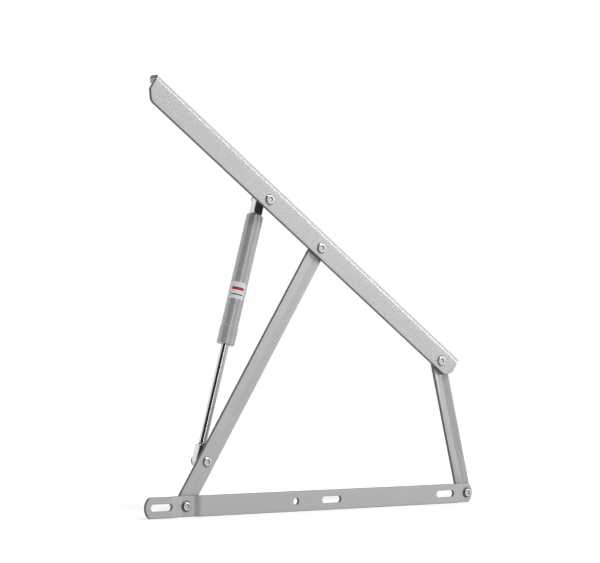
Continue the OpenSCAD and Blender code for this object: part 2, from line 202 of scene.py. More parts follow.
backdrop = joined(tree, "MULTIPLY", behind, not_high)
lit = joined(tree, "MAXIMUM", joined(tree, "MAXIMUM", front_right, backdrop), overhead)
lit = joined(tree, "MAXIMUM", lit, by_ray(tree, mirrored, plain=0.10, shiny=0.03))
shown = add_node(tree, "Mix", {"B": 1.0}, {"Factor": ray["Is Camera Ray"], "A": lit})
sky = add_node(
    tree, "Background", {"Color": (1.0, 1.0, 1.0, 1.0)}, {"Strength": shown.outputs["Result"]}
)
add_node(tree, "OutputWorld", links={"Surface": sky.outputs[0]})


def panel(name, place, target, side, length, width, radiance):
    """A rectangular soft light at a place, turned towards a target, with one side along a way."""
    lamp = bpy.data.lights.new(name, "AREA")
    lamp.shape = "RECTANGLE"
    lamp.size = length
    lamp.size_y = width
    lamp.energy = radiance * np.pi * length * width
    light = bpy.data.objects.new(name, lamp)
    away = (Vector(place) - Vector(target)).normalized()
    across = away.cross(Vector(side)).normalized()
    turn = Matrix((across.cross(away), across, away)).transposed().to_4x4()
    light.matrix_world = Matrix.Translation(place) @ turn
    bpy.context.scene.collection.objects.link(light)
    return light


middle = (0.02, 0.01, 0.24)
along_bar = (1.0, 0.0, 0.0)
down_rail = (0.777, 0.193, -0.693)
key_place = (0.86, -2.87, 4.77)
strip_place = (-0.95, -2.15, 0.85)
crease_place = (1.76, -1.72, 0.71)
panel("high_key", key_place, middle, along_bar, length=1.2, width=1.2, radiance=27.0)
panel("front_strip", strip_place, middle, upwards, length=1.6, width=0.22, radiance=4.0)
crease_light = panel(
    "crease_strip", crease_place, middle, down_rail, length=1.5, width=0.20, radiance=9.5
)

# Base bar
# A flat bar of coated steel that is screwed to the bed's side panel. It is stamped with three slots
# and a round hole, and pressed back round both rivets so that their heads clear the panel.
to_mm = 1000.0
bar_thick = 4.0
bar_edge = 0.45
bar_end_radius = 16.0
left_seat_half = 13.0
right_seat_half = 16.0
bend_ease = np.array([7.0, 7.0, 1.1, 1.1, 1.1, 1.1])
bar_grid_step = 8.0
bar_grid_inset = 5.0
bar_row_inset = 3.0
shank_radius = 4.0
hole_play = 0.02
coat_grey = (0.452, 0.455, 0.462)
edge_shade_grey = (0.13, 0.13, 0.134)

hinge = {j["name"]: np.array(j["pos_m"]) * to_mm for j in frame["joints"] if "pos_m" in j}
mounts = {m["name"]: m for m in frame["record"]["mounts"]}
openings = {o["name"]: np.array(o["box_m"]) * to_mm for o in frame["record"]["physics"]["openings"]}
long_foot = hinge["long_arm_hinge"][[0, 2]]
short_foot = hinge["short_arm_hinge"][[0, 2]]
bar_low, bar_high = (np.array(c) * to_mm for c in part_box("base_bar"))
set_back = bar_high[1] - bar_thick


def split_at(loop, stations, axis):
    """A closed outline with points added where it crosses the given stations along one axis."""
    following = np.roll(loop, -1, axis=0)
    step = following[:, axis] - loop[:, axis]
    moving = np.abs(step) > 1e-6
    reach = np.asarray(stations)[None, :] - loop[:, axis, None]
    share = reach / np.where(moving, step, 1.0)[:, None]
    edge, column = np.nonzero((share > 1e-3) & (share < 1 - 1e-3) & moving[:, None])
    edges = np.concatenate([np.arange(len(loop)), edge])
    shares = np.concatenate([np.zeros(len(loop)), share[edge, column]])
    order = np.lexsort((shares, edges))
    edges, shares = edges[order], shares[order, None]
    return loop[edges] * (1 - shares) + following[edges] * shares


def outward(loop):
    """Mitred normals of a closed outline, pointing away from the metal on its left."""
    ahead = np.roll(loop, -1, axis=0) - loop
    ahead = ahead / np.linalg.norm(ahead, axis=1, keepdims=True)
    side = np.stack([ahead[:, 1], -ahead[:, 0]], axis=1)
    before = np.roll(side, 1, axis=0)
    return (side + before) / (1 + np.sum(side * before, axis=1, keepdims=True))


def within(points, loops):
    """Even-odd test: true where a ray along p crosses the outlines an odd number of times."""
    crossings = np.zeros(len(points), int)
    for loop in loops:
        start, stop = loop[None], np.roll(loop, -1, axis=0)[None]
        spot = points[:, None]
        straddles = (start[..., 1] > spot[..., 1]) != (stop[..., 1] > spot[..., 1])
        rise = np.where(straddles, stop[..., 1] - start[..., 1], 1.0)
        lift = spot[..., 1] - start[..., 1]
        reach = start[..., 0] + lift * (stop[..., 0] - start[..., 0]) / rise
        crossings += np.sum(straddles & (spot[..., 0] < reach), axis=1)
    return crossings % 2 == 1


def facing_out(points, faces):
    """The same shell, with its faces turned round if the volume that they enclose is negative."""
    corners = [block[:, [0, k, k + 1]] for block in faces for k in range(1, block.shape[1] - 1)]
    triple = points[np.concatenate(corners)] - points.mean(axis=0)
    if np.sum(np.cross(triple[:, 0], triple[:, 1]) * triple[:, 2]) < 0:
        faces = [block[:, ::-1] for block in faces]
    return points, faces


def pressed_sheet(outlines, thick, edge, columns, rows, form):
    """Points and faces of a stamped and bent sheet. Each flat outline carries an edge profile of
    two quarter circles and the wall between them, and both faces are filled with triangles between
    the inset outlines and a grid of columns and rows. form bends it all: it takes flat places p, q
    and a depth from the front face, and gives x, y, z."""
    turn = np.linspace(0, np.pi / 2, 4)
    offset = edge * np.concatenate([np.sin(turn) - 1, np.cos(turn) - 1])
    depth = np.concatenate([edge * (1 - np.cos(turn)), thick - edge + edge * np.sin(turn)])
    loops = [split_at(split_at(loop, columns, 0), rows, 1) for loop in outlines]
    insets = [loop - edge * outward(loop) for loop in loops]
    counts = [len(loop) for loop in loops]
    starts = np.concatenate([[0], np.cumsum(counts)])
    rim = starts[-1]
    rings = len(offset)

    walls = [loop[None] + offset[:, None, None] * outward(loop)[None] for loop in loops]
    flat = np.concatenate(walls, axis=1).reshape(-1, 2)
    deep = np.repeat(depth, rim)

    grid = np.stack(np.meshgrid(columns, rows, indexing="ij"), axis=-1).reshape(-1, 2)
    margin = 2.2 * edge
    grid = grid[within(grid, [loop - margin * outward(loop) for loop in loops])]
    fill = np.concatenate(insets + [grid])
    spans = zip(starts[:-1], starts[1:])
    following = np.concatenate([np.roll(np.arange(first, last), -1) for first, last in spans])
    borders = np.stack([np.arange(rim), following], axis=1)
    made = delaunay_2d_cdt(fill.tolist(), borders.tolist(), [], 0, 1e-7)
    origin = np.array([source[0] for source in made[3]])
    triangles = origin[np.array(made[2])]
    triangles = triangles[within(fill[triangles].mean(axis=1), insets)]

    last_ring = (rings - 1) * rim
    on_grid = triangles >= rim
    front = triangles + np.where(on_grid, last_ring, 0)
    back = triangles + last_ring + np.where(on_grid, len(grid), 0)
    ring = np.arange(rings - 1)[:, None] * rim
    here, there = np.arange(rim)[None] + ring, following[None] + ring
    quads = np.stack([here, there, there + rim, here + rim], axis=-1).reshape(-1, 4)

    flat = np.concatenate([flat, grid, grid])
    deep = np.concatenate([deep, np.zeros(len(grid)), np.full(len(grid), thick)])
    return facing_out(form(flat[:, 0], flat[:, 1], deep), [quads, front[:, ::-1], back])


def add_piece(name, points, faces, node, finish, wall_finish=None):
    """Puts millimetre points and blocks of faces into a mesh that stands for a CAD node and rides
    on its body. A second finish goes on the first block, the walls of a sheet."""
    mesh = bpy.data.meshes.new(name)
    polygons = [face for block in faces for face in block.tolist()]
    mesh.from_pydata((points / to_mm).tolist(), [], polygons)
    mesh.shade_smooth()
    mesh.materials.append(finish)
    if wall_finish is not None:
        mesh.materials.append(wall_finish)
        first = np.arange(len(mesh.polygons)) < len(faces[0])
        mesh.polygons.foreach_set("material_index", first.astype(np.int32))
    piece = bpy.data.objects.new(name, mesh)
    bpy.context.scene.collection.objects.link(piece)
    even = piece.modifiers.new("even_normals", "WEIGHTED_NORMAL")
    even.weight = 80
    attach(piece, frame["nodes"][node]["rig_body"])
    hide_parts(node)
    return piece


def arc(centre, radius, start, stop, count):
    """Points of a circular arc between two angles in degrees."""
    turn = np.radians(np.linspace(start, stop, count))
    return np.array(centre) + radius * np.stack([np.cos(turn), np.sin(turn)], axis=1)


def slot_outline(x, z, radius, length):
    """A slot with round ends, run clockwise so that the metal lies on its left."""
    half = length / 2 - radius
    return np.concatenate([
        arc((x + half, z), radius, 90, -90, count=17)[:-1],
        [[x + half, z - radius]],
        arc((x - half, z), radius, -90, -270, count=17)[:-1],
        [[x - half, z + radius]],
    ])


def hole_outline(x, z, radius):
    """A round hole, run clockwise."""
    return arc((x, z), radius, 360, 0, count=41)[:-1]


def tinted(colour, share):
    """A share of a colour, no brighter than white."""
    return tuple(min(share * c, 1.0) for c in colour) + (1,)


def mottled(name, shades, gloss, cloud, grain, relief, values):
    """A finish whose colour and gloss each wander between two values with a cloudy noise, over the
    relief of a finer one. A noise is a scale and a detail, a relief a strength and a depth."""
    finish = bpy.data.materials.new(name)
    finish.use_nodes = True
    tree = finish.node_tree
    shader = tree.nodes["Principled BSDF"]
    for socket, value in values.items():
        shader.inputs[socket].default_value = value
    place = {"Vector": add_node(tree, "TexCoord").outputs["Object"]}
    cloudy, grainy = [
        add_node(tree, "TexNoise", {"Scale": scale, "Detail": detail}, place).outputs["Fac"]
        for scale, detail in (cloud, grain)
    ]
    shade = add_node(
        tree, "Mix", {"A": shades[0], "B": shades[1]}, {"Factor": cloudy}, data_type="RGBA"
    )
    wander = add_node(tree, "MapRange", {"To Min": gloss[0], "To Max": gloss[1]}, {"Value": cloudy})
    height = {"Strength": relief[0], "Distance": relief[1]}
    bump = add_node(tree, "Bump", height, {"Height": grainy})
    tree.links.new(shade.outputs["Result"], shader.inputs["Base Color"])
    tree.links.new(wander.outputs["Result"], shader.inputs["Roughness"])
    tree.links.new(bump.outputs["Normal"], shader.inputs["Normal"])
    return finish


def dull_finish(name, colour, metallic, roughness, peel, coat):
    """Powder coat, paint, nylon or rubber: a faint mottle in colour and gloss over a fine peel."""
    return mottled(
        name, shades=(tinted(colour, 0.98), tinted(colour, 1.02)),
        gloss=(roughness - 0.03, roughness + 0.03),
        cloud=(22.0, 5.0), grain=(900.0, 2.0), relief=(peel, 0.00012),
        values={"Metallic": metallic, "Coat Weight": coat, "Coat Roughness": 0.05},
    )


mitre = bar_thick / 2 * np.tan(np.radians(45.0 / 2))
left_seat = long_foot[0] + np.array([
    -left_seat_half - set_back, -left_seat_half, left_seat_half, left_seat_half + set_back
])
right_seat = short_foot[0] + np.array([-right_seat_half - set_back, -right_seat_half])
bend_places = np.concatenate([left_seat + mitre * np.array([-1, -1, 1, 1]), right_seat - mitre])
bend_turns = np.array([1.0, -1.0, -1.0, 1.0, 1.0, -1.0])


def bar_form(p, q, depth):
    """The bar bent back by slopes of 45 degrees: the middle line's height is a sum of ramps, each
    eased by a parabola, and the depth is laid off square to that line."""
    reach = p[:, None] - bend_places[None, :]
    share = np.clip((reach + bend_ease) / (2 * bend_ease), 0, 1)
    slope = share @ bend_turns
    height = (bend_ease * share**2 + np.maximum(reach - bend_ease, 0)) @ bend_turns
    length = np.sqrt(1 + slope**2)
    lift = depth - bar_thick / 2
    return np.stack([p - lift * slope / length, bar_thick / 2 + height + lift / length, q], axis=1)


half_height = bar_high[2]
sweep = np.degrees(np.arcsin(half_height / bar_end_radius))
bar_rim = np.concatenate([
    arc((bar_high[0] - bar_end_radius, 0), bar_end_radius, -sweep, sweep, count=21),
    arc((bar_low[0] + bar_end_radius, 0), bar_end_radius, 180 - sweep, 180 + sweep, count=21),
])
slots = mounts["base_slots"]["dims"]
slot_places = [openings[name][:, 0].mean() for name in ("left_slot", "middle_slot", "right_slot")]
round_hole = mounts["base_round_hole"]
hole_at = round_hole["pos_m"][0] * to_mm
bar_outlines = [bar_rim, hole_outline(hole_at, 0, round_hole["dims"]["r_mm"])]
bar_outlines += [
    slot_outline(x, 0, slots["hole_r_mm"], slots["slot_length_mm"]) for x in slot_places
]
feet = (long_foot[0], short_foot[0])
bar_outlines += [hole_outline(x, 0, shank_radius + hole_play) for x in feet]
ease = bend_ease[:, None] * np.linspace(-1, 1, 9)
bar_columns = np.unique(np.concatenate([
    np.arange(bar_low[0] + bar_grid_inset, bar_high[0] - bar_grid_inset, bar_grid_step),
    (bend_places[:, None] + ease).ravel(),
]))
bar_rows = np.linspace(-half_height + bar_row_inset, half_height - bar_row_inset, 5)

coat_look = {"metallic": 0.25, "roughness": 0.40, "peel": 0.05, "coat": 0.8}
coat = dull_finish("grey_powder_coat", coat_grey, **coat_look)
# Painted shade: the walls of bar, arms and rail get a near-black coat that stands in for the shade
# on their edges
edge_painted_shade = dull_finish(
    "cut_edge_coat", edge_shade_grey, metallic=0.15, roughness=0.45, peel=0.10, coat=0.3
)
points, faces = pressed_sheet(bar_outlines, bar_thick, bar_edge, bar_columns, bar_rows, bar_form)
bent_bar = add_piece("bent_base_bar", points, faces, "base_bar", coat, edge_painted_shade)

# Arms
# Two stamped strips of coated steel with round ends. Each has a shallow V pressed into it that
# stiffens it, open towards the side panel. The long arm's V stops round the gas spring's pin.
arm_thick = 4.0
arm_edge = 0.5
arm_half = 12.5
arm_grid_past = 9.0
arm_grid_columns = 90
rib_half = 10.0
rib_depth = 1.2
rib_fade = 2.5
rib_crease = 0.5
rib_shallow = 0.22
rib_taper = 45.0
rib_abrupt = 90.0
rib_from_foot = 14.0
rib_from_top = 14.0
rib_below_pin = 18.0
rib_above_pin = 28.0
# The short arm's grey is the same coat made darker: painted shade
short_arm_shade_grey = (0.385, 0.388, 0.394)

spring_pin = hinge["lower_eye_hinge"][[0, 2]]
short_top = hinge["rail_hinge"][[0, 2]]
long_top = np.mean(np.array(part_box("rail_rivet_long")), axis=0)[[0, 2]] * to_mm
arm_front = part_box("short_arm")[0][1] * to_mm


def add_arm(name, foot, top, pins, ribs, node, finish):
    """A strip from foot to top. Its surface is pushed back by a V, which grows deeper and wider
    from its end at a foot or pin over a taper and ends abruptly below the rail. A rib is two places
    and how much faster than at its first end it deepens from its second."""
    length = np.linalg.norm(top - foot)
    along = (top - foot) / length
    across = np.array([-along[1], along[0]])

    def form(p, q, depth):
        deep = 0
        for a, b, widen in ribs:
            inside = np.clip(np.minimum(p - a, b - p) / rib_fade, 0, 1)
            grown = (1 - rib_shallow) * np.minimum(p - a, widen * (b - p)) / rib_taper
            deep = deep + inside * np.clip(rib_shallow + grown, 0, 1)
        valley = np.maximum(deep - np.sqrt(q**2 + rib_crease**2) / rib_half, 0)
        place = foot + p[:, None] * along + q[:, None] * across
        return np.stack([place[:, 0], arm_front + depth + rib_depth * valley, place[:, 1]], axis=1)

    top_end = arc((length, 0), arm_half, -90, 90, count=33)
    foot_end = arc((0, 0), arm_half, 90, 270, count=33)
    rim = np.concatenate([top_end, foot_end])
    holes = [hole_outline(x, 0, shank_radius + hole_play) for x in pins]
    edges = np.array([[a, a + rib_fade, b - rib_fade, b] for a, b, widen in ribs]).ravel()
    even = np.linspace(-arm_grid_past, length + arm_grid_past, arm_grid_columns)
    columns = np.unique(np.concatenate([even, edges]))
    half_rows = np.array([rib_crease, 2.0, 4.0, 6.0, 8.0, rib_half])
    rows = np.concatenate([-half_rows[::-1], [0.0], half_rows])
    points, faces = pressed_sheet([rim] + holes, arm_thick, arm_edge, columns, rows, form)
    return add_piece(name, points, faces, node, finish, edge_painted_shade)


long_length = np.linalg.norm(long_top - long_foot)
pin_reach = np.linalg.norm(spring_pin - long_foot)
long_pins = (0, pin_reach, long_length)
long_ribs = [
    (rib_from_foot, pin_reach - rib_below_pin, 1.0),
    (pin_reach + rib_above_pin, long_length - rib_from_top, rib_abrupt),
]
long_strip = add_arm(
    "pressed_long_arm", long_foot, long_top, long_pins, long_ribs, "long_arm", coat
)

short_length = np.linalg.norm(short_top - short_foot)
short_pins = (0, short_length)
short_ribs = [(rib_from_foot, short_length - rib_from_top, rib_abrupt)]
# Painted shade: the short arm gets a darker copy of the grey coat
short_arm_painted_shade = dull_finish("short_arm_coat", short_arm_shade_grey, **coat_look)
short_strip = add_arm(
    "pressed_short_arm", short_foot, short_top, short_pins, short_ribs, "short_arm", short_arm_painted_shade
)

# Top rail
# An angle folded from 4 mm coated sheet. Above a faint crease its leg leans back to the fold. Arms
# and gas spring hang on the leg, and the bed frame is screwed to the flange.
rail_thick = 4.0
rail_edge = 0.8
rail_low = -12.5
rail_high = 21.0
rail_crease = 14.2
crease_half = 1.1
rail_lean = np.radians(8.0)
rail_fold = 4.6
rail_flange = 25.0
rail_left = -333.0
rail_past_rivet = 27.0
rail_corner = 10.0
rail_corner_height = 12.0
flange_corner = 9.0
rail_grid_inset = 6.0
rail_grid_columns = 60
leg_rows = [-8.0, 0.0, 6.0]
fold_row_count = 8
flange_row_count = 3
flange_row_start = 5.0
flange_row_inset = 4.0
walk_length = 75.0
walk_points = 7501

rivet_span = np.linalg.norm(short_top - long_top)
rail_right = rivet_span + rail_past_rivet
rail_along = (short_top - long_top) / rivet_span
rail_across = np.array([-rail_along[1], rail_along[0]])
rail_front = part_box("top_rail")[0][1] * to_mm
middle_fold = rail_fold - rail_thick / 2
fold_high = rail_high - rail_thick / 2 - middle_fold * (1 - np.sin(rail_lean))
crease_high = 2 * crease_half * np.sin(rail_lean) / rail_lean
fold_start = rail_crease + crease_half
fold_start += (fold_high - rail_crease + crease_half - crease_high) / np.cos(rail_lean)
fold_end = fold_start + middle_fold * (np.pi / 2 - rail_lean)

# The section's middle line, walked in short steps from the lower edge: its turn, height and depth
walk = np.linspace(rail_low, rail_low + walk_length, walk_points)
turn_places = [rail_crease - crease_half, rail_crease + crease_half, fold_start, fold_end]
walk_turn = np.interp(walk, turn_places, [0.0, rail_lean, rail_lean, np.pi / 2])
stride = walk[1] - walk[0]
heading = 0.5 * (walk_turn[1:] + walk_turn[:-1])
walk_high = rail_low + np.concatenate([[0.0], np.cumsum(stride * np.cos(heading))])
walk_back = rail_thick / 2 + np.concatenate([[0.0], np.cumsum(stride * np.sin(heading))])
flange_end = np.interp(rail_flange, walk_back, walk)


def rail_form(p, q, depth):
    """The sheet laid along the section's middle line: q is the way along that line, and the depth
    is laid off square to it."""
    turn = np.interp(q, walk, walk_turn)
    lift = depth - rail_thick / 2
    high = np.interp(q, walk, walk_high) - lift * np.sin(turn)
    back = np.interp(q, walk, walk_back) + lift * np.cos(turn)
    place = long_top + p[:, None] * rail_along + high[:, None] * rail_across
    return np.stack([place[:, 0], rail_front + back, place[:, 1]], axis=1)


def unrolled_flange(place):
    """Flat place of a point on the flange, from its place in millimetres."""
    reach = place[[0, 2]] - long_top
    return reach @ rail_along, np.interp(place[1] - rail_front, walk_back, walk)


def eased(rows, steps=5):
    """A profile line with rounded corners. Each row is a place along the axis, a radius and the
    length cut off at that corner, which a parabola between the two cut points replaces."""
    rows = np.asarray(rows, float)
    place, cut = rows[:, :2], rows[:, 2:3]
    back = np.roll(place, 1, axis=0) - place
    ahead = np.roll(place, -1, axis=0) - place
    back = back / np.maximum(np.linalg.norm(back, axis=1, keepdims=True), 1e-9)
    ahead = ahead / np.maximum(np.linalg.norm(ahead, axis=1, keepdims=True), 1e-9)
    share = np.linspace(0, 1, steps)[None, :, None]
    start, stop = (place + cut * back)[:, None], (place + cut * ahead)[:, None]
    line = (1 - share) ** 2 * start + 2 * share * (1 - share) * place[:, None] + share**2 * stop
    line = line.reshape(-1, 2)
    return line[np.linalg.norm(line - np.roll(line, 1, axis=0), axis=1) > 1e-5]


leg_corner = rail_low + rail_corner_height
rail_rim = eased([
    (rail_right - rail_corner, rail_low, 4.0),
    (rail_right, leg_corner, 2.0),
    (rail_right, flange_end - flange_corner, 2.0),
    (rail_right - flange_corner, flange_end, 2.0),
    (rail_left + flange_corner, flange_end, 2.0),
    (rail_left, flange_end - flange_corner, 2.0),
    (rail_left, leg_corner, 1.0),
    (rail_left + rail_corner, rail_low, 5.0),
], steps=7)
spring_top = np.mean(np.array(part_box("upper_spring_pin")), axis=0)[[0, 2]] * to_mm
pin_places = [(place - long_top) @ rail_along for place in (long_top, short_top, spring_top)]
rail_outlines = [rail_rim] + [hole_outline(x, 0, shank_radius + hole_play) for x in pin_places]
for name, mount in mounts.items():
    if name.startswith("flange_hole"):
        x, w = unrolled_flange(np.array(mount["pos_m"]) * to_mm)
        rail_outlines.append(hole_outline(x, w, mount["dims"]["r_mm"]))
rail_columns = np.linspace(
    rail_left + rail_grid_inset, rail_right - rail_grid_inset, rail_grid_columns
)
rail_rows = np.concatenate([
    leg_rows,
    rail_crease + crease_half * np.array([-1.0, 1.0]),
    np.linspace(fold_start, fold_end, fold_row_count),
    np.linspace(fold_end + flange_row_start, flange_end - flange_row_inset, flange_row_count),
])
points, faces = pressed_sheet(
    rail_outlines, rail_thick, rail_edge, rail_columns, rail_rows, rail_form
)
bent_rail = add_piece("bent_top_rail", points, faces, "top_rail", coat, edge_painted_shade)

# The strip light that draws a line along the crease falls on the coated plates alone
struck = bpy.data.collections.new("coated_plates")
for plate in (bent_bar, long_strip, short_strip, bent_rail):
    struck.objects.link(plate)
crease_light.light_linking.receiver_collection = struck

# Rivets and pins
# Zinc-plated steel rivets join the arms to bar and rail. Their heads are peened over and have a
# hollow middle, and the two longer pins of the gas spring reach back through sleeves to far heads.
head_radius = 7.0
head_height = 2.5
pin_head_radius = 6.5
step_radius = 5.25
step_height = 2.2
hollow_radius = 3.1
hollow_floor = 1.6
hollow_depth = 0.9
crown_inset = 1.1
collar_height = 0.7
collar_width = 0.95
head_washer_thick = 1.0
far_washer_thick = 1.0
far_washer_bevel = 1.5
far_head_step = 0.3
groove_half = 0.1

arm_back = arm_front + arm_thick
back_way = np.array([0.0, 1.0, 0.0])
side_way = np.array([1.0, 0.0, 0.0])
depth_of = {
    name: (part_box(name)[0][1] * to_mm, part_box(name)[1][1] * to_mm) for name in frame["nodes"]
}


def turned(profile, origin, axis, aside, turns=72):
    """A closed profile of places along an axis and radii, turned round that axis. Where the profile
    touches the axis its ring shrinks to one point, and a fan closes the ring beside it."""
    angle = np.linspace(0, 2 * np.pi, turns, endpoint=False)
    spoke = np.cos(angle)[:, None] * aside + np.sin(angle)[:, None] * np.cross(axis, aside)
    hub = profile[:, 1] < 1e-6
    rings = profile[~hub]
    points = origin + rings[:, None, :1] * axis + rings[:, None, 1:] * spoke[None]
    poles = origin + profile[hub][:, :1] * axis
    points = np.concatenate([points.reshape(-1, 3), poles])

    number = np.cumsum(~hub) - 1
    tips = len(rings) * turns + np.cumsum(hub) - 1
    following = np.roll(np.arange(len(profile)), -1)
    step = np.arange(turns)[None]
    after = (step + 1) % turns
    wall = np.nonzero(~hub & ~hub[following])[0]
    here, there = number[wall][:, None] * turns, number[following[wall]][:, None] * turns
    quads = np.stack([here + step, here + after, there + after, there + step], axis=-1)
    leaving = np.nonzero(hub & ~hub[following])[0]
    ring = number[following[leaving]][:, None] * turns
    tip = tips[leaving][:, None] + 0 * step
    first = np.stack([tip, ring + after, ring + step], axis=-1)
    coming = np.nonzero(~hub & hub[following])[0]
    ring = number[coming][:, None] * turns
    tip = tips[following[coming]][:, None] + 0 * step
    last = np.stack([tip, ring + step, ring + after], axis=-1)
    fans = [first.reshape(-1, 3), last.reshape(-1, 3)]
    return facing_out(points, [quads.reshape(-1, 4)] + fans)


def peened_head(seat, side, height, radius, collar=collar_height):
    """Profile rows of a head, from the floor of its hollow over a low crown and down its wall to
    the thin collar that spreads on the seat. With no collar the wall runs straight down."""
    top = seat + side * height
    crown = radius - crown_inset if collar else radius
    rows = [
        (top - side * hollow_depth, 0, 0),
        (top - side * hollow_depth, hollow_floor, 0.2),
        (top - side * 0.05, hollow_radius, 0.15),
        (top, hollow_radius + 0.5, 0.2),
        (top - side * 0.10, crown - 0.6, 0.25),
        (top - side * 0.50, crown, 0.25),
    ]
    if collar:
        rows += [
            (seat + side * collar, crown + 0.05, 0.12),
            (seat + side * collar, radius - 0.3, 0.12),
            (seat + side * (collar - 0.25), radius, 0.12),
        ]
    return rows + [(seat + side * 0.2, radius, 0.1), (seat, radius - 0.2, 0.08)]


def bright_metal(name, colour, roughness, grain_scale, relief_depth):
    """Plated or turned metal: a reflection whose colour and gloss wander, over a fine grain."""
    return mottled(
        name, shades=(tinted(colour, 0.92), tinted(colour, 1.04)),
        gloss=(0.7 * roughness, 1.3 * roughness),
        cloud=(260.0, 4.0), grain=(grain_scale, 3.0), relief=(0.3, relief_depth),
        values={"Metallic": 1.0},
    )


zinc_grain = {"grain_scale": 1500.0, "relief_depth": 0.00001}
zinc = bright_metal("bright_zinc", (0.74, 0.74, 0.75), 0.16, **zinc_grain)
# A near-black copy of the zinc is painted shade, for rivet hollows, head collars and the base head
# washers
dull_zinc = bright_metal("dull_zinc", (0.13, 0.13, 0.135), 0.40, **zinc_grain)


def add_turned(name, rows, spot, node, finish):
    """A piece turned round an axis along the depth, at a spot of the XZ plane."""
    points, faces = turned(eased(rows), np.array([spot[0], 0, spot[1]]), back_way, side_way)
    return add_piece(name, points, faces, node, finish)


def add_pin(name, rows, spot, node, radius):
    """A rivet or pin of bright zinc, with near-black painted shade on the hollow's slope and on its
    head's collar.
    """
    mesh = add_turned(name, rows, spot, node, zinc).data
    mesh.materials.append(dull_zinc)
    centre = np.empty(3 * len(mesh.polygons))
    mesh.polygons.foreach_get("center", centre)
    reach = np.linalg.norm(centre.reshape(-1, 3)[:, [0, 2]] * to_mm - spot, axis=1)
    # Painted shade goes on the hollow's slope and on the collar round the head
    slope = (reach > hollow_floor + 0.2) & (reach < hollow_radius - 0.1)
    collar = reach > radius - collar_width
    mesh.polygons.foreach_set("material_index", (slope | collar).astype(np.int32))


def shank(*places):
    """Profile rows of the plain shank at some places."""
    return [(place, shank_radius, 0.1) for place in places]


def far_head(seat):
    """Profile rows of a pin's far end, from the seat outwards: a washer, a groove and a head."""
    rim = seat + far_washer_thick
    smaller = head_radius - far_head_step
    head = peened_head(rim + groove_half, 1, head_height - groove_half, smaller)
    washer = [(seat, head_radius - far_washer_bevel, 0.3), (rim - groove_half, head_radius, 0.25)]
    return washer + head[::-1]


arm_head = peened_head(arm_back, 1, head_height, head_radius)[::-1]
seat = set_back - head_washer_thick
foot_rows = peened_head(seat, -1, step_height, step_radius, collar=0)
foot_rows += shank(seat, arm_back) + arm_head
add_pin("base_rivet_left", foot_rows, long_foot, "base_rivet_long", head_radius)
add_pin("base_rivet_right", foot_rows, short_foot, "base_rivet_short", head_radius)

front_rows = peened_head(rail_front, -1, head_height, head_radius) + shank(rail_front)
for name, spot, node in (
    ("rail_rivet_left", long_top, "rail_rivet_long"),
    ("upper_pin", spring_top, "upper_spring_pin"),
):
    end = depth_of[node][1]
    add_pin(name, front_rows + shank(end) + [(end, 0, 0)], spot, node, head_radius)
rows = [(arm_front, 0, 0)] + shank(arm_front, arm_back) + arm_head
add_pin("rail_rivet_left_tail", rows, long_top, "rail_rivet_long_tail", head_radius)
seat = depth_of["rail_rivet_short"][1] - head_height
rows = front_rows + shank(seat) + peened_head(seat, 1, head_height, head_radius)[::-1]
add_pin("rail_rivet_right", rows, short_top, "rail_rivet_short", head_radius)

tail_start, tail_end = depth_of["upper_spring_pin_tail"]
seat = tail_end - head_height - far_washer_thick
rows = [(tail_start, 0, 0)] + shank(tail_start, seat) + far_head(seat)
add_pin("upper_pin_far_head", rows, spring_top, "upper_spring_pin_tail", pin_head_radius)
seat = depth_of["lower_spring_pin"][1] - head_height - far_washer_thick
rows = peened_head(arm_front, -1, head_height, pin_head_radius)
rows += shank(arm_front, seat) + far_head(seat)
add_pin("lower_pin", rows, spring_pin, "lower_spring_pin", pin_head_radius)

# Washers and sleeves
# Flat zinc washers, near-black with painted shade, lie under the two base rivets' heads. Thin nylon
# washers keep the moving plates apart, and two zinc sleeves hold the gas spring's eyes away from
# arm and rail.
nylon_cream = (0.80, 0.79, 0.76)
nylon = dull_finish(
    "natural_nylon", nylon_cream, metallic=0.0, roughness=0.45, peel=0.2, coat=0.0
)
washer_bore = shank_radius + hole_play

for name, outer, edge, spot, node, slot, finish in (
    ("head_washer_left", head_radius, 0.3, long_foot, "head_washer_long", "zinc", dull_zinc),
    ("head_washer_right", head_radius, 0.3, short_foot, "head_washer_short", "zinc", dull_zinc),
    ("base_spacer_left", head_radius, 0.2, long_foot, "base_washer_long", "nylon", nylon),
    ("base_spacer_right", head_radius, 0.2, short_foot, "base_washer_short", "nylon", nylon),
    ("rail_spacer_left", head_radius, 0.2, long_top, "rail_washer_long", "nylon", nylon),
    ("rail_spacer_right", head_radius, 0.2, short_top, "rail_washer_short", "nylon", nylon),
    ("lower_sleeve", pin_head_radius, 0.4, spring_pin, "lower_spring_spacer", "zinc", zinc),
    ("upper_sleeve", pin_head_radius, 0.4, spring_top, "upper_spring_spacer", "zinc", zinc),
):
    front, back = depth_of[node]
    rows = [
        (front, washer_bore, 0.05), (front, outer - 1.3 * edge, 0.1), (front + edge, outer, 0.1),
        (back, outer, 0.1), (back, washer_bore, 0.05),
    ]
    add_turned(name, rows, spot, node, finish)

# Eyes of the gas spring
# Flat zinc-plated eyes turn on the two pins; their faces and necks are near-black with painted
# shade. The lower one is screwed onto the rod, and the upper one has a stub that enters the
# cylinder's end plug.
eye_half = 7.0
eye_end = 7.0
eye_thick = 10.0
eye_edge = 0.8
eye_corner = 1.2
eye_shoulder = 1.5
eye_grid_reach = 6.0
eye_grid_half = 4.0
eye_grid_inset = 3.0
neck_radius = 5.0
neck_sunk = 2.0
stub_radius = 3.0
lower_eye_length = 22.0
upper_eye_length = 21.0
upper_stub_length = 8.0
eye_face_shade_grey = (0.045, 0.045, 0.047)

